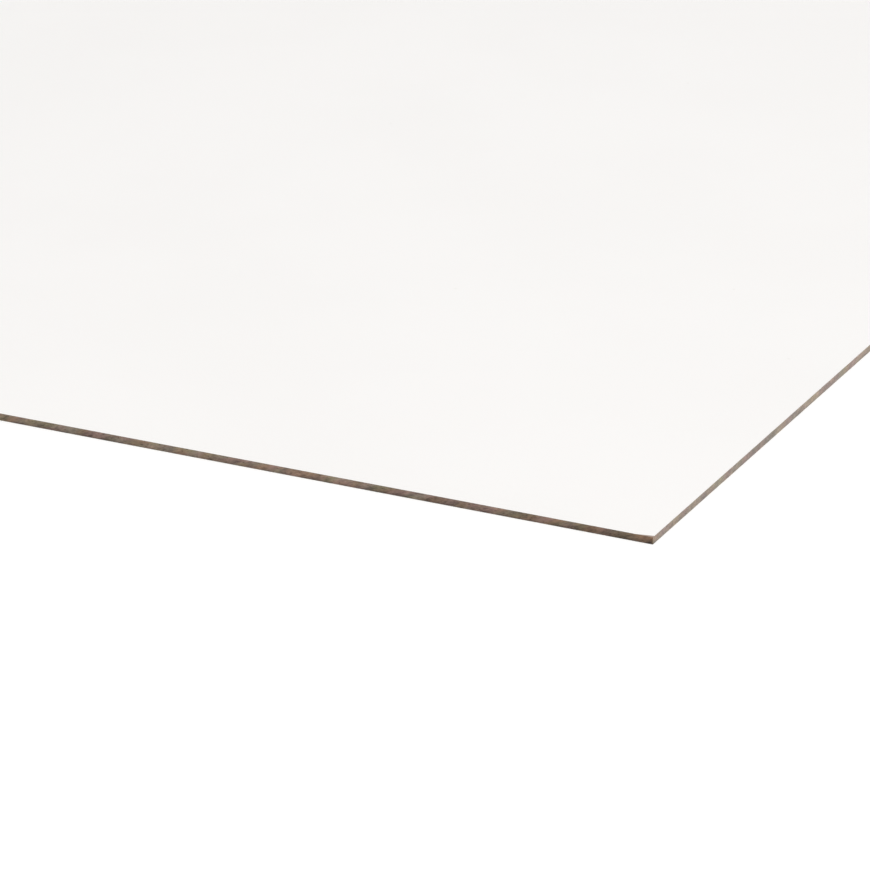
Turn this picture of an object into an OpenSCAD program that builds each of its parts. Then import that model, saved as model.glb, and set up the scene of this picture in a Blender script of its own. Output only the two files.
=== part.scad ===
// Thin medium-density fiberboard sheet, faced white on its upper side.
//
// The board and its facing are two bonded layers, sawn square together on all
// four edges, so every edge of one is flush with the same edge of the other.
// The sheet lies flat: the width runs along X, the length along Y and the
// thickness along Z, from the middle of the underside.

/* [Sheet] */
// Length of the sheet
sheet_length = 1220; // [300:10:3050]
// Width of the sheet
sheet_width = 610; // [200:10:1525]
// Thickness of the whole sheet, with its facing
sheet_thickness = 3; // [2:0.5:25]

/* [Facing] */
// Thickness of the white facing alone
facing_thickness = 0.1; // [0.05:0.05:0.8]

/* [Colors] */
// Color of the sawn edges and of the bare back
fiberboard_color = "#96826F"; // [#96826F:Grey brown, #B79B7B:Light tan, #6E5A48:Dark brown]
// Color of the facing
facing_color = "#F7F6F3"; // [#F7F6F3:White, #EFE9DA:Cream, #DADCDC:Light grey]

/* [Hidden] */

board_thickness = sheet_thickness - facing_thickness;

// A square-sawn layer of the sheet, centered on the origin, from one height up.
module sawn_layer(bottom, thickness) {
    translate([0, 0, bottom])
        linear_extrude(height = thickness)
            square([sheet_width, sheet_length], center = true);
}

// The pressed board: brown edges and a bare brown back.
module fiberboard() {
    color(fiberboard_color)
        sawn_layer(bottom = 0, thickness = board_thickness);
}

// The facing: a thin white layer bonded over the whole upper side.
module white_facing() {
    color(facing_color)
        sawn_layer(bottom = board_thickness, thickness = facing_thickness);
}

fiberboard();
white_facing();
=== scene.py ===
"""Thin fiberboard sheet, faced white on its upper side, lying on a plain studio floor.

The sheet is two pieces: the pressed board, with its sawn edges and its bare back,
and the white facing bonded over its upper side. All lengths are in metres, in the
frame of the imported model, whose origin is the middle of the underside.
"""

import logging
import math
from abc import ABC, abstractmethod
from dataclasses import dataclass, replace
from enum import Enum
from typing import ClassVar

import bmesh
import bpy
from mathutils import Matrix, Vector, noise


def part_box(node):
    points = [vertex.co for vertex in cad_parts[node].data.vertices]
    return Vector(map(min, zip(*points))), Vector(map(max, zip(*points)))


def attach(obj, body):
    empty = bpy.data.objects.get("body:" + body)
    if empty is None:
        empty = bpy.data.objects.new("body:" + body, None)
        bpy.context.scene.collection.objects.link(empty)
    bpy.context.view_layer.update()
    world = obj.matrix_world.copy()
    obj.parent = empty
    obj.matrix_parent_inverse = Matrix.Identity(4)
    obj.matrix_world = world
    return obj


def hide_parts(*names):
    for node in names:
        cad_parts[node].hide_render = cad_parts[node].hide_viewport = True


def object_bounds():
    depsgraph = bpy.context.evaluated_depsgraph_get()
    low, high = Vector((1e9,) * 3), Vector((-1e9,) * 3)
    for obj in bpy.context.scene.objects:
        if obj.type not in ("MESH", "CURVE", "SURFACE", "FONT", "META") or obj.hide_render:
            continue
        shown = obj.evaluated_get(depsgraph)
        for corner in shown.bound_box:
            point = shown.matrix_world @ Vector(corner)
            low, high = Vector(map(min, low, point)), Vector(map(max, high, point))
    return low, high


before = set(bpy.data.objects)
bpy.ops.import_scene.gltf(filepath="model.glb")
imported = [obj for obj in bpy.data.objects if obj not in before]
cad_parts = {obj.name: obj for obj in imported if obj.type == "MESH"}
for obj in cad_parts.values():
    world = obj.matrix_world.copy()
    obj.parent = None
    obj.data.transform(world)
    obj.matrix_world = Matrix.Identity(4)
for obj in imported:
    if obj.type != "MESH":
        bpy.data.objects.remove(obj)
CAD_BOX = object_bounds()

LOG = logging.getLogger("fiberboard_sheet")
ROOT_BODY = "root"
BAKE_MAP = "OFBake"
MM = 0.001

Color = tuple[float, float, float, float]
Size = tuple[float, float, float]
Inputs = dict[int | str, object]
Mesh = bmesh.types.BMesh
Socket = bpy.types.NodeSocket

PURE_WHITE: Color = (1.0, 1.0, 1.0, 1.0)
ORIGIN: Size = (0.0, 0.0, 0.0)


def linear(share: float) -> float:
    """Gives the linear value of a paint-chart color's red, green or blue, both from 0 to 1."""
    knee, slope, offset, power = 0.04045, 12.92, 0.055, 2.4
    return share / slope if share <= knee else ((share + offset) / (1 + offset)) ** power


def tone(red: int, green: int, blue: int) -> Color:
    """Turns a paint-chart color into the linear color that a shader takes.

    Args:
        red: Red, from 0 to 255.
        green: Green, from 0 to 255.
        blue: Blue, from 0 to 255.

    Returns:
        The linear color, with an alpha of 1.
    """
    full = 255
    return (linear(red / full), linear(green / full), linear(blue / full), 1.0)


class Axis(Enum):
    """The sheet's directions, as the separating node names its outputs."""

    ACROSS = "X"
    ALONG = "Y"
    UP = "Z"


class Sum(Enum):
    """The sums that the materials need, as the math nodes name them."""

    ADD = "ADD"
    SUBTRACT = "SUBTRACT"
    MULTIPLY = "MULTIPLY"
    DIVIDE = "DIVIDE"
    LARGER = "MAXIMUM"
    UNSIGNED = "ABSOLUTE"


class FiberSide(Enum):
    """The two sides of the board's fibers, each with its place among the board's finishes."""

    SAWN = 0
    PRESSED = 1


@dataclass(frozen=True)
class Grain:
    """A noise whose spots have a given size along each axis.

    Attributes:
        size: The spots' size along X, Y and Z, in metres.
        turn: How far the pattern is turned about Z, in degrees.
        detail: How many finer noises are added to the first.
        shift: How far the pattern is moved, in spots, so that two differ.
        harshness: How strong each finer noise is beside the one before it.
    """

    size: Size
    turn: float = 0.0
    detail: float = 2.0
    shift: float = 0.0
    harshness: float = 0.5

    def layer(self, index: int, turn: float) -> "Grain":
        """Gives the same grain for one of several layers of fibers.

        Args:
            index: The layer's number, which moves the pattern by so many shifts.
            turn: How far the layer is turned, in degrees.

        Returns:
            The layer's own grain.
        """
        return replace(self, turn=self.turn + turn, shift=self.shift * index)


@dataclass(frozen=True)
class Ramp:
    """A range of a value, mapped to another range and held at both ends.

    Attributes:
        start: Where the output is low.
        end: Where the output is high.
        low: The output at the start.
        high: The output at the end.
        smooth: Whether it starts and ends gently.
    """

    start: float
    end: float
    low: float = 0.0
    high: float = 1.0
    smooth: bool = True


class NodeKit:
    """A node tree, with a short call for each kind of node in use."""

    def __init__(self, tree: bpy.types.NodeTree) -> None:
        """Takes the tree to work in."""
        self.tree = tree

    def feed(self, socket: Socket, value: object) -> None:
        """Links an input to an output socket, or sets its value.

        Args:
            socket: The input.
            value: An output socket, or the value that the input holds.
        """
        if isinstance(value, Socket):
            self.tree.links.new(value, socket)
        else:
            socket.default_value = value

    def feed_all(self, node: bpy.types.Node, inputs: Inputs) -> None:
        """Links or sets several of a node's inputs.

        Args:
            node: The node.
            inputs: What each input takes, by its name or number.
        """
        for name, value in inputs.items():
            self.feed(node.inputs[name], value)

    def node(self, kind: str, inputs: Inputs, **settings: object) -> bpy.types.Node:
        """Adds a node.

        Args:
            kind: The node's type name.
            inputs: What each input takes, by its name or number.
            **settings: Values for the node's own properties.

        Returns:
            The new node.
        """
        added = self.tree.nodes.new(kind)
        for name, value in settings.items():
            setattr(added, name, value)
        self.feed_all(added, inputs)
        return added

    def ramp(self, factor: Socket, ramp: Ramp) -> Socket:
        """Maps a value by a ramp.

        Args:
            factor: The value.
            ramp: The ramp.

        Returns:
            The mapped value.
        """
        ends = {"From Min": ramp.start, "From Max": ramp.end, "To Min": ramp.low, "To Max": ramp.high}
        gait = "SMOOTHSTEP" if ramp.smooth else "LINEAR"
        mapped = self.node("ShaderNodeMapRange", {"Value": factor, **ends}, interpolation_type=gait)
        return mapped.outputs["Result"]

    def reckon(self, operation: Sum, first: object, second: object = 0.0) -> Socket:
        """Does one sum on two values.

        Args:
            operation: The sum.
            first: The first value, or its socket.
            second: The second value, or its socket.

        Returns:
            The result.
        """
        result = self.node("ShaderNodeMath", {0: first, 1: second}, operation=operation.value)
        return result.outputs["Value"]

    def reckon_place(self, operation: Sum, first: object, second: object = ORIGIN) -> Socket:
        """Does one sum on two places, axis by axis.

        Args:
            operation: The sum.
            first: The first place, or its socket.
            second: The second place, or its socket.

        Returns:
            The result.
        """
        result = self.node("ShaderNodeVectorMath", {0: first, 1: second}, operation=operation.value)
        return result.outputs["Vector"]

    def product(self, *factors: object) -> Socket:
        """Multiplies values.

        Args:
            *factors: The values, or their sockets.

        Returns:
            Their product.
        """
        result = factors[0]
        for factor in factors[1:]:
            result = self.reckon(Sum.MULTIPLY, result, factor)
        return result

    def seen(self) -> Socket:
        """Tells the rays that see the background from those that light the object.

        Returns:
            1 for a camera, glossy or transmission ray, otherwise 0.
        """
        rays = self.node("ShaderNodeLightPath", {}).outputs
        seen = self.reckon(Sum.LARGER, rays["Is Camera Ray"], rays["Is Glossy Ray"])
        return self.reckon(Sum.LARGER, seen, rays["Is Transmission Ray"])


class Finish(NodeKit):
    """A material in the making, whose patterns lie in the sheet's own frame."""

    def __init__(self, name: str) -> None:
        """Starts the material with a plain shader.

        Args:
            name: The material's name.
        """
        self.material = bpy.data.materials.new(name)
        self.material.use_nodes = True
        super().__init__(self.material.node_tree)
        self.shader = self.tree.nodes["Principled BSDF"]
        self.place = self.node("ShaderNodeTexCoord", {}).outputs["Object"]
        self.grain_place = self.place

    def shade(self, inputs: Inputs) -> None:
        """Links or sets inputs of the shader, by their names."""
        self.feed_all(self.shader, inputs)

    def grain(self, grain: Grain) -> Socket:
        """Adds a grain.

        Args:
            grain: The grain.

        Returns:
            Its noise, around 0.5.
        """
        turn = (0.0, 0.0, math.radians(grain.turn))
        turned = self.node("ShaderNodeMapping", {"Vector": self.grain_place, "Rotation": turn})
        scale = [1 / length for length in grain.size]
        shift = [grain.shift] * len(scale)
        stretch = {"Vector": turned.outputs["Vector"], "Scale": scale, "Location": shift}
        stretched = self.node("ShaderNodeMapping", stretch)
        spots = {"Scale": 1.0, "Detail": grain.detail, "Roughness": grain.harshness}
        pattern = self.node("ShaderNodeTexNoise", {"Vector": stretched.outputs["Vector"], **spots})
        return pattern.outputs["Fac"]

    def patches(self, grain: Grain, cover: Ramp) -> Socket:
        """Picks out the spots of a grain.

        Args:
            grain: The grain.
            cover: Which of its values count, and how strongly.

        Returns:
            How much of each place is covered.
        """
        return self.ramp(self.grain(grain), cover)

    def drag(self, way: Socket) -> None:
        """Drags the grains that are added after this along X.

        Args:
            way: How far they are dragged at each place, in metres.
        """
        along_x = self.node("ShaderNodeCombineXYZ", {"X": way})
        self.grain_place = self.reckon_place(Sum.SUBTRACT, self.place, along_x.outputs["Vector"])

    def dots(self, spacing: float, radius: float) -> Socket:
        """Adds a few soft round dots, strewn over the X and Y directions.

        Args:
            spacing: How far apart they are on average, in metres.
            radius: The size of one dot, in metres.

        Returns:
            1 in a dot, otherwise 0.
        """
        inputs = {"Vector": self.place, "Scale": 1 / spacing}
        strewn = self.node("ShaderNodeTexVoronoi", inputs, voronoi_dimensions="2D")
        rim = radius / spacing
        return self.ramp(strewn.outputs["Distance"], Ramp(rim / 2, rim, 1.0, 0.0))

    def along(self, axis: Axis) -> Socket:
        """Gives the place along one axis, in metres."""
        return self.node("ShaderNodeSeparateXYZ", {"Vector": self.place}).outputs[axis.value]

    def inside(self, axis: Axis, span: float) -> Socket:
        """Gives the way in from the nearer of two opposite edges, in metres.

        Args:
            axis: The axis along which the way is measured.
            span: The way from one edge to the other, which has the origin in its middle.

        Returns:
            The distance.
        """
        from_middle = self.reckon(Sum.UNSIGNED, self.along(axis))
        return self.reckon(Sum.SUBTRACT, span / 2, from_middle)

    def blend(self, factor: object, first: object, second: object) -> Socket:
        """Mixes two colors.

        Args:
            factor: The share of the second color.
            first: The first color, or its socket.
            second: The second color, or its socket.

        Returns:
            The mixed color.
        """
        mixed = self.node("ShaderNodeMix", {}, data_type="RGBA", clamp_factor=True)
        colors = [socket for socket in mixed.inputs if socket.type == "RGBA"]
        self.feed(mixed.inputs["Factor"], factor)
        self.feed(colors[0], first)
        self.feed(colors[1], second)
        return next(socket for socket in mixed.outputs if socket.type == "RGBA")

    def vary(self, level: object, pattern: Socket, share: float) -> Socket:
        """Moves a level up and down by a share of a pattern that lies around a half.

        Args:
            level: The level, or its socket.
            pattern: The pattern.
            share: How much of the pattern counts.

        Returns:
            The level, with the pattern in it.
        """
        middle = 0.5
        centered = self.reckon(Sum.SUBTRACT, pattern, middle)
        return self.reckon(Sum.ADD, level, self.product(centered, share))

    def relief(self, height: Socket, depth: float) -> None:
        """Gives the surface a fine relief.

        Args:
            height: The relief, from 0 to 1.
            depth: The relief's real depth, in metres.
        """
        bump = self.node("ShaderNodeBump", {"Height": height, "Distance": depth})
        self.shade({"Normal": bump.outputs["Normal"]})


@dataclass(frozen=True)
class FiberFinish(ABC):
    """Pressed wood fiber, whose two sides each have a finish of their own.

    Attributes:
        name: The finish's name.
        warm: The redder of its browns.
        straw: The color of its yellower patches.
        dark: The color of bark specks.
        light: The color of pale fibers.
        gloss: How much of a plain varnish's gloss it has, where 0.5 is all of it.
        fuzz: How much the loose fibers catch the light at a slant.
        fuzz_spread: How far from a slant they still catch it.
        fuzz_tint: The color of that light.
        roughness: Its roughness, from its hollows to its heights.
    """

    name: ClassVar[str]
    warm: Color = tone(144, 111, 99)
    straw: Color = tone(135, 116, 88)
    dark: Color = tone(66, 50, 34)
    light: Color = tone(168, 150, 132)
    gloss: float = 0.25
    fuzz: float = 0.8
    fuzz_spread: float = 0.4
    fuzz_tint: Color = (1.0, 0.93, 0.87, 1.0)
    roughness: Ramp = Ramp(0.3, 0.7, 0.55, 0.75)

    def material(self, low: Vector, high: Vector) -> bpy.types.Material:
        """Makes the material.

        Args:
            low: The board's lowest corner.
            high: The board's highest corner.

        Returns:
            The material.
        """
        finish = Finish(self.name)
        self.dress(finish, low, high)
        finish.shade({"Specular IOR Level": self.gloss, "Sheen Weight": self.fuzz})
        finish.shade({"Sheen Roughness": self.fuzz_spread, "Sheen Tint": self.fuzz_tint})
        return finish.material

    @abstractmethod
    def dress(self, finish: Finish, low: Vector, high: Vector) -> None:
        """Gives the material its fibers.

        Args:
            finish: The material being made.
            low: The board's lowest corner.
            high: The board's highest corner.
        """

    def lay_on(self, finish: Finish, color: Socket, level: Socket, height: Socket, depth: float) -> None:
        """Joins the color, the level, the roughness and the relief to the shader.

        Args:
            finish: The material being made.
            color: The color before its lights and darks.
            level: The lights and darks, around 1.
            height: The relief, from 0 to 1.
            depth: The relief's real depth, in metres.
        """
        shaded = finish.node("ShaderNodeHueSaturation", {"Color": color, "Value": level})
        rough = finish.ramp(height, self.roughness)
        finish.shade({"Base Color": shaded.outputs["Color"], "Roughness": rough})
        finish.relief(height, depth)


@dataclass(frozen=True)
class SawnFinish(FiberFinish):
    """The sawn edges: fibers cut through, in layers, darker towards the underside, partly painted shade.

    Attributes:
        cool: The greener of the two browns.
        grey: The color of the greyer patches.
        corner_shade_brown: The color of the painted shade near the corners of the short edges, deepest
            at their foot.
        olive: The color of the greener streaks along the long edges.
        mauve: The color of the redder ones.
        scuffed_and_highlit: The color at the top of the corners, partly fibers rubbed up and partly a
            painted highlight.
        corner_foot_shade: The color of the painted shade at the foot of the long edges near the corners.
        lean: How far the saw drags the fibers along the short edges, for each metre of height.
        reds: The patches of the redder and the greener brown.
        straws: The patches of straw and grey.
        either: How sharply two such patches part.
        pale: The pale fibers.
        pale_cover: How much of the edges they cover.
        specks: The bark specks.
        speck_cover: How much of the edges they cover.
        streaks: The streaks along the long edges.
        green_cover: How strong the greener ones are.
        red_cover: How strong the redder ones are.
        broad: The slow change from light to dark along the edges.
        broad_share: How strong it is.
        clumps: The clumps of fibers.
        clump_share: How much lighter or darker they are.
        fibers: The single fibers.
        fiber_share: How much lighter or darker they are.
        depth: How deep the relief between them is.
        layer_and_shade_share: How much lighter the upper layers are, partly a denser lower skin and
            partly painted shade.
        short_shade_share: How much more so on the short edges, which is painted shade towards the floor.
        short_shade_level: What is added to the level of the short edges, as part of that painted shade.
        foot_shade_patches: Patches of painted shade along the foot of the edges, next to the back.
        foot_shade_cover: How dark they are.
        foot_shade_height: How far up they reach.
        short_start: The way in from a long edge at which a short edge starts.
        corner_shade: How much painted shade darkens the short edges, by the way from the corner.
        corner_shade_high_up: How much of that is left at the top.
        long_corner_light_and_shade: How much the long edges show that highlight above and that shade
            below, by the way from the corner.
        short_scuff_and_highlight: How much the short edges take the rubbed and highlit color at the top,
            by the same way.
    """

    name: ClassVar[str] = "sawn_edge"
    cool: Color = tone(124, 120, 100)
    grey: Color = tone(133, 114, 108)
    corner_shade_brown: Color = tone(94, 68, 44)
    olive: Color = tone(134, 124, 90)
    mauve: Color = tone(140, 106, 106)
    scuffed_and_highlit: Color = tone(152, 115, 88)
    corner_foot_shade: Color = tone(100, 89, 60)
    lean: float = 1.4
    reds: Grain = Grain((8 * MM, 13 * MM, 4 * MM), detail=1.0)
    straws: Grain = Grain((7 * MM, 7 * MM, 5 * MM), detail=1.0, shift=31.0)
    either: Ramp = Ramp(0.32, 0.68)
    pale: Grain = Grain((2.0 * MM, 2.0 * MM, 0.35 * MM), detail=1.0, shift=17.0)
    pale_cover: Ramp = Ramp(0.6, 0.78, 0.0, 0.5)
    specks: Grain = Grain((1.2 * MM, 1.2 * MM, 0.5 * MM), detail=1.0, shift=11.0)
    speck_cover: Ramp = Ramp(0.62, 0.76, 0.0, 0.75)
    streaks: Grain = Grain((12 * MM, 12 * MM, 12 * MM), detail=1.0, shift=254.5)
    green_cover: Ramp = Ramp(0.5, 0.62, 0.0, 0.4)
    red_cover: Ramp = Ramp(0.38, 0.5, 0.4, 0.0)
    broad: Grain = Grain((40 * MM, 40 * MM, 20 * MM), detail=1.0, shift=285.5)
    broad_share: float = 0.75
    clumps: Grain = Grain((7 * MM, 7 * MM, 6 * MM), detail=3.0, shift=3.0, harshness=0.9)
    clump_share: float = 2.6
    fibers: Grain = Grain((1.5 * MM, 1.5 * MM, 0.18 * MM), detail=3.0, shift=7.0)
    fiber_share: float = 1.3
    depth: float = 0.05 * MM
    layer_and_shade_share: float = 0.2
    short_shade_share: float = 0.56
    short_shade_level: float = -0.035
    foot_shade_patches: Grain = Grain((7 * MM, 7 * MM, 7 * MM), shift=23.0)
    foot_shade_cover: Ramp = Ramp(0.42, 0.66, 0.0, 0.45)
    foot_shade_height: float = 0.9 * MM
    short_start: Ramp = Ramp(0.1 * MM, 0.4 * MM)
    corner_shade: Ramp = Ramp(0.0, 85 * MM, 0.55, 0.0)
    corner_shade_high_up: float = 0.6
    long_corner_light_and_shade: Ramp = Ramp(0.0, 6 * MM, 0.9, 0.0)
    short_scuff_and_highlight: Ramp = Ramp(0.0, 14 * MM, 0.85, 0.0)

    def dress(self, finish: Finish, low: Vector, high: Vector) -> None:
        """Gives the edges their fibers, layers and marks, with painted light and shade.

        Args:
            finish: The material being made.
            low: The board's lowest corner.
            high: The board's highest corner.
        """
        span = high - low
        height = finish.along(Axis.UP)
        high_up = finish.ramp(height, Ramp(low.z, high.z))
        from_long = finish.inside(Axis.ACROSS, span.x)
        from_short = finish.inside(Axis.ALONG, span.y)
        on_short = finish.ramp(from_long, self.short_start)
        on_long = finish.reckon(Sum.SUBTRACT, 1.0, on_short)
        finish.drag(finish.product(height, self.lean, on_short))

        # The edges grow lighter with height: partly a denser lower skin, partly painted shade near the
        # floor.
        layers = finish.ramp(height, Ramp(low.z - span.z / 2, high.z + span.z / 2))
        fibers = finish.grain(self.fibers)
        level = finish.vary(self.lights_darks_and_shade(finish, layers, on_short), fibers, self.fiber_share)
        level = finish.product(level, self.clear_of_foot_shade(finish, height, low.z))

        # Painted shade: the short edges darken near the corners, most at their foot.
        low_down = finish.ramp(height, Ramp(low.z, high.z, 1.0, self.corner_shade_high_up))
        corner_shade = finish.product(finish.ramp(from_long, self.corner_shade), low_down, on_short)
        color = finish.blend(corner_shade, self.browns(finish), self.corner_shade_brown)
        color = self.streaked(finish, color, on_long)
        # Painted highlight above and painted shade below, on the long edges near the corners.
        corner_light_and_shade = finish.product(finish.ramp(from_short, self.long_corner_light_and_shade), on_long)
        color = finish.blend(corner_light_and_shade, color, finish.blend(high_up, self.corner_foot_shade, self.scuffed_and_highlit))
        # Rubbed fibers and a painted highlight at the top of the short edges, near the corners.
        rubbed = finish.product(finish.ramp(from_long, self.short_scuff_and_highlight), high_up, on_short)
        color = finish.blend(rubbed, color, self.scuffed_and_highlit)
        self.lay_on(finish, color, level, fibers, self.depth)

    def lights_darks_and_shade(self, finish: Finish, layers: Socket, on_short: Socket) -> Socket:
        """Tells how light the layers and clumps of fibers are, around 1, with painted shade low down.

        Args:
            finish: The material being made.
            layers: The way up through the layers, around a half.
            on_short: 1 on a short edge, otherwise 0.

        Returns:
            The level.
        """
        # Painted shade: the short edges darken more towards the floor.
        short_edge_shade = finish.vary(self.short_shade_level, layers, self.short_shade_share)
        level = finish.vary(1.0, layers, self.layer_and_shade_share)
        level = finish.reckon(Sum.ADD, level, finish.product(short_edge_shade, on_short))
        level = finish.vary(level, finish.grain(self.broad), self.broad_share)
        return finish.vary(level, finish.grain(self.clumps), self.clump_share)

    def streaked(self, finish: Finish, color: Socket, on_long: Socket) -> Socket:
        """Lays the greener and the redder streaks along the long edges.

        Args:
            finish: The material being made.
            color: The color under them.
            on_long: 1 on a long edge, otherwise 0.

        Returns:
            The color with them.
        """
        streaks = finish.grain(self.streaks)
        greener = finish.product(finish.ramp(streaks, self.green_cover), on_long)
        redder = finish.product(finish.ramp(streaks, self.red_cover), on_long)
        return finish.blend(redder, finish.blend(greener, color, self.olive), self.mauve)

    def browns(self, finish: Finish) -> Socket:
        """Mixes the browns of the cut fibers, with pale fibers and bark specks.

        Args:
            finish: The material being made.

        Returns:
            The color.
        """
        red_or_green = finish.blend(finish.patches(self.reds, self.either), self.warm, self.cool)
        straw_or_grey = finish.blend(finish.patches(self.straws, self.either), self.straw, self.grey)
        even_share = 0.5
        color = finish.blend(even_share, red_or_green, straw_or_grey)
        color = finish.blend(finish.patches(self.pale, self.pale_cover), color, self.light)
        return finish.blend(finish.patches(self.specks, self.speck_cover), color, self.dark)

    def clear_of_foot_shade(self, finish: Finish, height: Socket, bottom: float) -> Socket:
        """Tells how much light the patches of painted shade along the foot leave.

        Args:
            finish: The material being made.
            height: The height of each place.
            bottom: The height of the back.

        Returns:
            1 where there is no such patch, and less in one.
        """
        # Painted shade: dark patches along the foot of the edges, next to the back.
        near_back = finish.ramp(height, Ramp(bottom, bottom + self.foot_shade_height, 1.0, 0.0))
        foot_shaded = finish.product(finish.patches(self.foot_shade_patches, self.foot_shade_cover), near_back)
        return finish.reckon(Sum.SUBTRACT, 1.0, foot_shaded)


@dataclass(frozen=True)
class PressedFinish(FiberFinish):
    """The bare back: fibers lying flat, every way round, in layers.

    Attributes:
        clouds: The large clouds of straw and red.
        cloud_cover: How far they go from straw to red.
        clumps: The clumps of fibers.
        clump_share: How much lighter or darker they are.
        level: How light the back is beside the edges.
        turns: How far each layer of fibers is turned, in degrees.
        fibers: The fibers of a layer.
        fiber_share: How much lighter or darker they are.
        flecks: The flecks of bark in a layer.
        fleck_cover: How much of it they cover.
        strands: The pale strands in a layer.
        strand_cover: How much of it they cover.
        depth: How deep the relief is.
    """

    name: ClassVar[str] = "bare_back"
    clouds: Grain = Grain((120 * MM, 120 * MM, 120 * MM), detail=3.0)
    cloud_cover: Ramp = Ramp(0.3, 0.7, 0.3, 0.6)
    clumps: Grain = Grain((9 * MM, 9 * MM, 9 * MM), detail=4.0, shift=3.0, harshness=0.7)
    clump_share: float = 0.55
    level: float = 1.12
    turns: tuple[float, ...] = (12.0, 71.0, 128.0)
    fibers: Grain = Grain((3.0 * MM, 0.3 * MM, 1 * MM), shift=5.0)
    fiber_share: float = 0.5
    flecks: Grain = Grain((2.4 * MM, 0.5 * MM, 1 * MM), turn=25.0, detail=1.0, shift=9.0)
    fleck_cover: Ramp = Ramp(0.66, 0.76, 0.0, 0.6)
    strands: Grain = Grain((3.5 * MM, 0.35 * MM, 1 * MM), turn=-20.0, detail=1.0, shift=4.0)
    strand_cover: Ramp = Ramp(0.62, 0.74, 0.0, 0.55)
    depth: float = 0.02 * MM

    def dress(self, finish: Finish, low: Vector, high: Vector) -> None:
        """Gives the back its layers of fibers.

        Args:
            finish: The material being made.
            low: The board's lowest corner, which is not used.
            high: The board's highest corner, which is not used.
        """
        clumps = finish.grain(self.clumps)
        color = finish.blend(finish.patches(self.clouds, self.cloud_cover), self.straw, self.warm)
        level = finish.vary(self.level, clumps, self.clump_share)
        for index, turn in enumerate(self.turns):
            fibers = finish.grain(self.fibers.layer(index, turn))
            level = finish.vary(level, fibers, self.fiber_share)
            flecks = finish.patches(self.flecks.layer(index, turn), self.fleck_cover)
            color = finish.blend(flecks, color, self.dark)
            strands = finish.patches(self.strands.layer(index, turn), self.strand_cover)
            color = finish.blend(strands, color, self.light)
        self.lay_on(finish, color, level, clumps, self.depth)


@dataclass(frozen=True)
class FacingFinish:
    """The smooth white facing, with a soft sheen.

    Attributes:
        name: The finish's name.
        white: Its color.
        shadow_white: Its color where the facing is a touch thinner.
        clouds: The places where it is.
        cloud_cover: How sharply they part.
        dust: The color of the few specks of dust on it.
        dust_spacing: How far apart these are on average.
        dust_radius: How large one is.
        cut: Its color where the saw cut through it.
        bare: The color of the fibers where its corners are rubbed through.
        rub_length: How long these spots are, along the short edges.
        rub_width: How wide they are.
        rub_rim: How they end, by the way along in lengths plus the way across in widths.
        sheen: Its roughness, from where it shines most to where it shines least.
        ripple: The fine ripple of its surface.
        ripple_depth: How deep that is.
    """

    name: ClassVar[str] = "satin_white"
    white: Color = tone(248, 246, 244)
    shadow_white: Color = tone(247, 245, 243)
    clouds: Grain = Grain((120 * MM, 120 * MM, 120 * MM), detail=3.0)
    cloud_cover: Ramp = Ramp(0.35, 0.65)
    dust: Color = tone(241, 239, 236)
    dust_spacing: float = 190 * MM
    dust_radius: float = 0.8 * MM
    cut: Color = tone(160, 150, 142)
    bare: Color = tone(150, 126, 109)
    rub_length: float = 7 * MM
    rub_width: float = 1.4 * MM
    rub_rim: Ramp = Ramp(0.8, 1.1, 1.0, 0.0)
    sheen: Ramp = Ramp(0.3, 0.7, 0.34, 0.42)
    ripple: Grain = Grain((2.2 * MM, 2.2 * MM, 2.2 * MM), shift=5.0)
    ripple_depth: float = 0.004 * MM

    def material(self, low: Vector, high: Vector) -> bpy.types.Material:
        """Makes the material.

        Args:
            low: The facing's lowest corner.
            high: The facing's highest corner.

        Returns:
            The material.
        """
        finish = Finish(self.name)
        clouds = finish.grain(self.clouds)
        color = finish.blend(finish.ramp(clouds, self.cloud_cover), self.white, self.shadow_white)
        color = finish.blend(finish.dots(self.dust_spacing, self.dust_radius), color, self.dust)
        color = finish.blend(self.rubbed(finish, high - low), color, self.bare)
        face = finish.ramp(finish.along(Axis.UP), Ramp((low.z + high.z) / 2, high.z))
        color = finish.blend(face, self.cut, color)
        finish.shade({"Base Color": color, "Roughness": finish.ramp(clouds, self.sheen)})
        finish.relief(finish.grain(self.ripple), self.ripple_depth)
        return finish.material

    def rubbed(self, finish: Finish, span: Vector) -> Socket:
        """Finds where the four corners are rubbed through to the fibers.

        Args:
            finish: The material being made.
            span: The size of the facing.

        Returns:
            1 in a rubbed spot, otherwise 0.
        """
        lengthwise = finish.reckon(Sum.DIVIDE, finish.inside(Axis.ACROSS, span.x), self.rub_length)
        crosswise = finish.reckon(Sum.DIVIDE, finish.inside(Axis.ALONG, span.y), self.rub_width)
        return finish.ramp(finish.reckon(Sum.ADD, lengthwise, crosswise), self.rub_rim)


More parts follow.
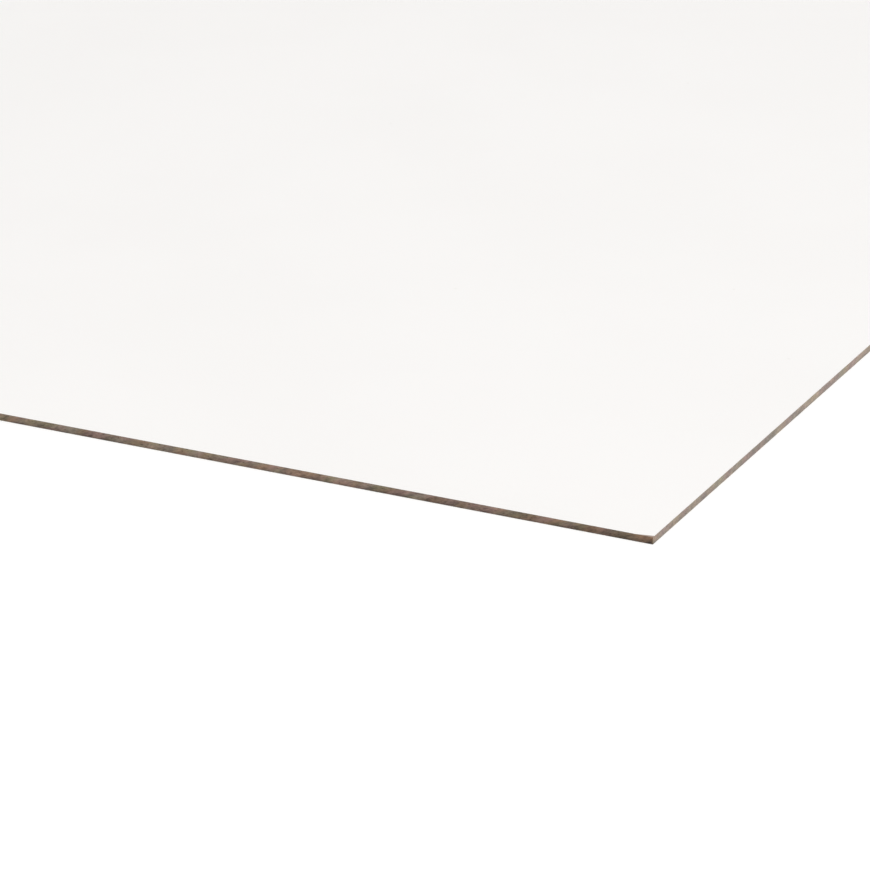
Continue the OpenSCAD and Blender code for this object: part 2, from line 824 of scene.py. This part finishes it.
@dataclass(frozen=True)
class MapLayout:
    """Where the board's sides lie on the square map that the export draws its colors on.

    The back stands at the left and the hidden side lies above it. The edges are cut
    into strips that stand side by side at the right, drawn far larger than the sides.

    Attributes:
        rim: How much of the map's width is left free at its rim.
        back_scale: How much of the map's width a metre of the back takes.
        hidden_scale: How much of it a metre of the hidden side takes.
        hidden_start: How far up the hidden side lies.
        edge_scale: How much of it a metre of the edges takes.
        first_strip: How far to the right the first strip stands.
        strip_pitch: How far each strip stands from the next.
    """

    rim: float = 0.004
    back_scale: float = 0.732
    hidden_scale: float = 0.144
    hidden_start: float = 0.905
    edge_scale: float = 5.6
    first_strip: float = 0.461
    strip_pitch: float = 0.0255

    @property
    def strip_length(self) -> float:
        """Gives the length of a strip, which leaves two rims free at each end."""
        return 1 - 4 * self.rim

    def back(self, place: Vector) -> Vector:
        """Places a point of the back, given from the board's lowest corner."""
        return Vector((self.rim, self.rim)) + place.xy * self.back_scale

    def hidden(self, place: Vector) -> Vector:
        """Places a point of the hidden side, given from the board's lowest corner."""
        return Vector((self.rim, self.hidden_start)) + place.yx * self.hidden_scale

    def strip(self, way: float) -> int:
        """Tells which strip holds a place this far round the edges, in metres."""
        return int(way * self.edge_scale / self.strip_length)

    def edge(self, strip: int, way: float, height: float) -> Vector:
        """Places a point of the edges.

        Args:
            strip: The strip that it lies on.
            way: How far round the edges it is, in metres.
            height: How far it is above the underside, in metres.

        Returns:
            Its place on the map.
        """
        across = self.first_strip + strip * self.strip_pitch + height * self.edge_scale
        return Vector((across, 2 * self.rim + way * self.edge_scale - strip * self.strip_length))


@dataclass
class SawnLayer:
    """One rectangular layer of the sheet, sawn square, with finely divided edges.

    Attributes:
        node: The CAD node that it stands for.
        slot: The record's material slot for the layer, which is not used.
        rows: How many rows of faces its edges have from top to bottom.
        upper_arris: How far its upper arrises are eased, in metres.
        lower_arris: How far its lower arrises are eased, in metres.
        level_face: How upright the normal of a face of its flat sides is at least.
        cell: The width of the squares that its flat sides are made of.
        pitch: The length of the faces along its edges.
        tear: How deep the saw leaves its edges uneven, in metres.
        fine_tear: The length of the finer waves in them.
        coarse_tear: The length of the coarser ones.
        weld: How near two points are joined.
        crease: From which angle between two faces on an edge is sharp, in degrees.
    """

    node: str
    slot: str
    rows: int
    upper_arris: float
    lower_arris: float
    level_face: float = 0.9
    cell: float = 20 * MM
    pitch: float = 0.8 * MM
    tear: float = 0.05 * MM
    fine_tear: float = 1.9 * MM
    coarse_tear: float = 6.0 * MM
    weld: float = 0.002 * MM
    crease: float = 30.0

    def __post_init__(self) -> None:
        """Reads the layer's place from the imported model."""
        self.low, self.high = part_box(self.node)
        self.span = self.high - self.low
        self.center = (self.low + self.high) / 2

    def rim(self, mesh: Mesh, height: float) -> list[bmesh.types.BMEdge]:
        """Finds the open edges at one height.

        Args:
            mesh: The mesh in the making.
            height: The height, in metres.

        Returns:
            The edges that belong to one face only, at that height.
        """
        return [
            edge
            for edge in mesh.edges
            if edge.is_boundary and all(abs(v.co.z - height) < self.weld for v in edge.verts)
        ]

    def flat_side(self, mesh: Mesh, height: float, inset: float) -> None:
        """Lays one flat side of the layer, as squares with a finely divided rim.

        Args:
            mesh: The mesh in the making.
            height: The height of the side, in metres.
            inset: How far the side stays inside the outline, in metres.
        """
        columns = round(self.span.x / self.cell)
        lines = round(self.span.y / self.cell)
        half_metre = 0.5
        laid = bmesh.ops.create_grid(mesh, x_segments=columns, y_segments=lines, size=half_metre)
        size = (self.span.x - 2 * inset, self.span.y - 2 * inset, 1)
        bmesh.ops.scale(mesh, vec=size, verts=laid["verts"])
        place = (self.center.x, self.center.y, height)
        bmesh.ops.translate(mesh, vec=place, verts=laid["verts"])
        edges = [edge for edge in self.rim(mesh, height) if edge.calc_length() > self.cell / 2]
        cuts = round(self.cell / self.pitch) - 1
        bmesh.ops.subdivide_edges(mesh, edges=edges, cuts=cuts)

    def edge_profile(self) -> list[tuple[float, float]]:
        """Gives the rings that the edges run down by, from the upper rim's own.

        Returns:
            Each ring's inset from the outline and its height.
        """
        top = self.high.z - self.upper_arris
        bottom = self.low.z + self.lower_arris
        steps = [top + (bottom - top) * row / self.rows for row in range(self.rows + 1)]
        profile = [(0.0, height) for height in steps]
        if self.upper_arris:
            profile.insert(0, (self.upper_arris, self.high.z))
        if self.lower_arris:
            profile.append((self.lower_arris, self.low.z))
        return profile

    def saw_edges(self, mesh: Mesh) -> None:
        """Runs the edges down from the rim of the upper side to that of the underside.

        Args:
            mesh: The mesh in the making.
        """
        profile = self.edge_profile()
        open_edges = self.rim(mesh, self.high.z)
        about = Matrix.Translation(-self.center)
        for (inset, height), (next_inset, next_height) in zip(profile, profile[1:]):
            grown = bmesh.ops.extrude_edge_only(mesh, edges=open_edges)["geom"]
            verts = [item for item in grown if isinstance(item, bmesh.types.BMVert)]
            open_edges = [item for item in grown if isinstance(item, bmesh.types.BMEdge)]
            across = (self.span.x - 2 * next_inset) / (self.span.x - 2 * inset)
            along = (self.span.y - 2 * next_inset) / (self.span.y - 2 * inset)
            bmesh.ops.scale(mesh, vec=(across, along, 1), space=about, verts=verts)
            bmesh.ops.translate(mesh, vec=(0, 0, next_height - height), verts=verts)

    def tear_edges(self, mesh: Mesh) -> None:
        """Leaves the edges a little uneven, always inside the outline.

        Args:
            mesh: The mesh in the making.
        """
        reach = 2 * max(self.upper_arris, self.lower_arris, self.tear)
        for vert in mesh.verts:
            from_side = self.span.x / 2 - abs(vert.co.x - self.center.x)
            from_end = self.span.y / 2 - abs(vert.co.y - self.center.y)
            if min(from_side, from_end) > reach:
                continue
            fine = noise.noise(vert.co / self.fine_tear)
            coarse = noise.noise(vert.co / self.coarse_tear)
            depth = self.tear * (1 + (fine + coarse) / 2) / 2
            if from_side <= reach:
                vert.co.x -= math.copysign(depth, vert.co.x - self.center.x)
            if from_end <= reach:
                vert.co.y -= math.copysign(depth, vert.co.y - self.center.y)

    def lay_out(self, mesh: Mesh) -> None:
        """Leaves the layer's map to the export, which serves for an even color."""

    def build(self) -> bpy.types.Object:
        """Makes the layer as one closed mesh and puts it in the scene.

        Returns:
            The new piece, without its finish.
        """
        mesh = bmesh.new()
        self.flat_side(mesh, self.high.z, self.upper_arris)
        self.saw_edges(mesh)
        self.flat_side(mesh, self.low.z, self.lower_arris)
        bmesh.ops.remove_doubles(mesh, verts=mesh.verts, dist=self.weld)
        self.tear_edges(mesh)
        bmesh.ops.recalc_face_normals(mesh, faces=mesh.faces)
        for face in mesh.faces:
            face.smooth = True
        self.lay_out(mesh)
        data = bpy.data.meshes.new(self.node)
        mesh.to_mesh(data)
        mesh.free()
        data.set_sharp_from_angle(angle=math.radians(self.crease))
        piece = bpy.data.objects.new(f"{self.node}_piece", data)
        bpy.context.scene.collection.objects.link(piece)
        return piece

    def declare(self, piece: bpy.types.Object) -> None:
        """Hangs the piece on the root body and hides the CAD part that it stands for.

        Args:
            piece: The piece.
        """
        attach(piece, ROOT_BODY)
        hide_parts(self.node)


@dataclass
class PressedBoard(SawnLayer):
    """The fiberboard itself: brown sawn edges and a bare brown back.

    Attributes:
        layout: Where its sides lie on the export's map.
    """

    node: str = "fiberboard"
    slot: str = "raw_fiberboard"
    rows: int = 6
    upper_arris: float = 0.0
    lower_arris: float = 0.08 * MM
    layout: MapLayout = MapLayout()

    def way_round(self, place: Vector, normal: Vector) -> float:
        """Tells how far round the edges a point of one edge is, from the board's lowest corner.

        Args:
            place: The point, from the lowest corner.
            normal: The direction that its edge faces.

        Returns:
            The way, counterclockwise as seen from above, in metres.
        """
        if abs(normal.y) > abs(normal.x):
            return place.x if normal.y < 0 else 2 * self.span.x + self.span.y - place.x
        return self.span.x + place.y if normal.x > 0 else 2 * (self.span.x + self.span.y) - place.y

    def lay_out(self, mesh: Mesh) -> None:
        """Lays the board out for the export, with its edges drawn far larger than its sides.

        Args:
            mesh: The finished mesh.
        """
        places = mesh.loops.layers.uv.new(BAKE_MAP)
        for face in mesh.faces:
            level = abs(face.normal.z) > self.level_face
            middle = self.way_round(face.calc_center_median() - self.low, face.normal)
            strip = self.layout.strip(middle)
            for loop in face.loops:
                place = loop.vert.co - self.low
                if not level:
                    way = self.way_round(place, face.normal)
                    loop[places].uv = self.layout.edge(strip, way, place.z)
                elif face.normal.z < 0:
                    loop[places].uv = self.layout.back(place)
                else:
                    loop[places].uv = self.layout.hidden(place)

    def make(self) -> bpy.types.Object:
        """Builds and dresses the board.

        Returns:
            The finished piece.
        """
        piece = self.build()
        finishes = {FiberSide.SAWN: SawnFinish(), FiberSide.PRESSED: PressedFinish()}
        for side in FiberSide:
            piece.data.materials.append(finishes[side].material(self.low, self.high))
        for face in piece.data.polygons:
            level = abs(face.normal.z) > self.level_face
            side = FiberSide.PRESSED if level else FiberSide.SAWN
            face.material_index = side.value
        self.declare(piece)
        return piece


@dataclass
class WhiteFacing(SawnLayer):
    """The white facing, bonded over the board and sawn flush with it."""

    node: str = "white_facing"
    slot: str = "white_facing"
    rows: int = 1
    upper_arris: float = 0.02 * MM
    lower_arris: float = 0.0

    def make(self) -> bpy.types.Object:
        """Builds and dresses the facing.

        Returns:
            The finished piece.
        """
        piece = self.build()
        piece.data.materials.append(FacingFinish().material(self.low, self.high))
        self.declare(piece)
        return piece


def direction(azimuth: float, elevation: float) -> Vector:
    """Gives the direction towards an azimuth and an elevation.

    Args:
        azimuth: The angle from -Y towards +X, in degrees.
        elevation: The angle above the floor, in degrees.

    Returns:
        A vector one metre long.
    """
    around, up = math.radians(azimuth), math.radians(elevation)
    flat = math.cos(up)
    return Vector((math.sin(around) * flat, -math.cos(around) * flat, math.sin(up)))


def stand_facing(item: bpy.types.Object, target: Vector, away: Vector, distance: float) -> None:
    """Puts a lamp or a camera at a distance from a point, facing it.

    Args:
        item: The lamp or camera.
        target: The point that it faces.
        away: The direction from the point to it.
        distance: How far it is from the point, in metres.
    """
    item.location = target + away * distance
    item.rotation_euler = away.to_track_quat("Z", "Y").to_euler()
    bpy.context.scene.collection.objects.link(item)


@dataclass(frozen=True)
class SoftLamp:
    """A square softbox that faces a point of the sheet.

    Attributes:
        name: Its name.
        azimuth: The direction it stands in, from -Y towards +X, in degrees.
        elevation: Its height above the floor as an angle, in degrees.
        distance: How far it is from the point, in metres.
        side: The length of its sides, in metres.
        light: What it gives a level surface at that point, where 1 shows white as white.
    """

    name: str
    azimuth: float
    elevation: float
    distance: float
    side: float
    light: float

    def hang(self, target: Vector) -> None:
        """Hangs the lamp.

        Args:
            target: The point that it faces.
        """
        data = bpy.data.lights.new(self.name, "AREA")
        data.shape = "SQUARE"
        data.size = self.side
        spread = (math.pi * self.distance) ** 2
        data.energy = self.light * spread / math.sin(math.radians(self.elevation))
        lamp = bpy.data.objects.new(self.name, data)
        stand_facing(lamp, target, direction(self.azimuth, self.elevation), self.distance)


@dataclass(frozen=True)
class Floor:
    """The white floor, which keeps the sheet's shadow, adds painted shade close around it and turns
    plain white further out.

    Attributes:
        span: The length of its sides, in metres.
        white: The color that it reflects.
        glow: What it adds by the way from the sheet where the camera sees it, where 1 is white.
    """

    span: float = 60.0
    white: Color = (0.86, 0.86, 0.86, 1.0)
    glow: Ramp = Ramp(0.0, 0.7, 0.18, 1.0, smooth=False)

    def beside_sheet(self, finish: Finish, half_span: Vector) -> Socket:
        """Gives the way from the sheet's outline to a place on the floor, in metres.

        Args:
            finish: The material being made.
            half_span: Half the size of the sheet, which is centered on the origin.

        Returns:
            The distance, which is 0 under the sheet.
        """
        from_middle = finish.reckon_place(Sum.UNSIGNED, finish.place)
        past_rim = finish.reckon_place(Sum.SUBTRACT, from_middle, half_span)
        beside = finish.reckon_place(Sum.LARGER, past_rim)
        return finish.node("ShaderNodeVectorMath", {0: beside}, operation="LENGTH").outputs["Value"]

    def lay(self, half_span: Vector) -> None:
        """Lays the floor.

        Args:
            half_span: Half the size of the sheet, which is centered on the origin.
        """
        mesh = bmesh.new()
        bmesh.ops.create_grid(mesh, x_segments=1, y_segments=1, size=self.span / 2)
        data = bpy.data.meshes.new("floor")
        mesh.to_mesh(data)
        mesh.free()
        floor = bpy.data.objects.new("floor", data)
        bpy.context.scene.collection.objects.link(floor)

        finish = Finish("studio_floor")
        # Painted shadow: the glow is least at the sheet's outline and grows outwards, so the floor stays
        # darker in a band around the sheet.
        glow = finish.ramp(self.beside_sheet(finish, half_span), self.glow)
        finish.shade(
            {
                "Base Color": self.white,
                "Roughness": 1.0,
                "Specular IOR Level": 0.0,
                "Emission Color": PURE_WHITE,
                "Emission Strength": finish.product(finish.seen(), glow),
            }
        )
        data.materials.append(finish.material)


@dataclass(frozen=True)
class Camera:
    """The camera, which stands over the sheet's near corner.

    Attributes:
        lens: Its focal length, in millimetres.
        pitch: How far it looks down, in degrees.
        azimuth: The direction that it stands in, in degrees.
        distance: How far it is from the point that it looks at, in metres.
        aim_left: From the near corner to that point, along the short edge.
        aim_back: From the near corner to that point, along the long edge.
        far: How far it sees, in metres.
    """

    lens: float = 248.28
    pitch: float = 22.536
    azimuth: float = 25.793
    distance: float = 2.2954
    aim_left: float = 0.11476
    aim_back: float = 0.05336
    far: float = 60.0

    def set_up(self, near_corner: Vector) -> None:
        """Sets up the camera.

        Args:
            near_corner: The corner of the upper side that is nearest to the camera.
        """
        data = bpy.data.cameras.new("camera")
        data.lens = self.lens
        data.clip_end = self.far
        camera = bpy.data.objects.new("camera", data)
        target = near_corner + Vector((-self.aim_left, self.aim_back, 0))
        stand_facing(camera, target, direction(self.azimuth, self.pitch), self.distance)
        bpy.context.scene.camera = camera


@dataclass(frozen=True)
class Studio:
    """The floor, the light and the camera.

    Attributes:
        floor: The floor.
        sky_light: The strength of the light from all around, which itself shows as plain white.
        lamps: The softboxes.
        camera: The camera.
    """

    floor: Floor = Floor()
    sky_light: float = 0.35
    lamps: tuple[SoftLamp, ...] = (
        SoftLamp("key_lamp", azimuth=85, elevation=60, distance=9.0, side=4.5, light=0.48),
        SoftLamp("fill_lamp", azimuth=12, elevation=66, distance=5.0, side=2.8, light=0.25),
    )
    camera: Camera = Camera()

    def light_room(self, target: Vector) -> None:
        """Lights the room from all around and by the lamps.

        Args:
            target: The point that the lamps face.
        """
        world = bpy.data.worlds.new("studio")
        world.use_nodes = True
        kit = NodeKit(world.node_tree)
        strength = kit.ramp(kit.seen(), Ramp(0.0, 1.0, self.sky_light, 1.0, smooth=False))
        kit.feed_all(world.node_tree.nodes["Background"], {"Color": PURE_WHITE, "Strength": strength})
        bpy.context.scene.world = world
        for lamp in self.lamps:
            lamp.hang(target)

    def set_up(self, low: Vector, high: Vector) -> None:
        """Sets up the floor, the light and the camera around the sheet.

        Args:
            low: The sheet's lowest corner.
            high: The sheet's highest corner.
        """
        bpy.context.scene.view_settings.view_transform = "Standard"
        near_corner = Vector((high.x, low.y, high.z))
        self.floor.lay((high - low) / 2)
        self.light_room(near_corner)
        self.camera.set_up(near_corner)


def main() -> None:
    """Builds the sheet's pieces and sets up the studio around them."""
    logging.basicConfig(level=logging.INFO, format="%(name)s: %(message)s")
    for layer in (PressedBoard(), WhiteFacing()):
        piece = layer.make()
        LOG.info("%s: %d faces", piece.name, len(piece.data.polygons))
    Studio().set_up(*CAD_BOX)


if __name__ == "__main__":
    main()
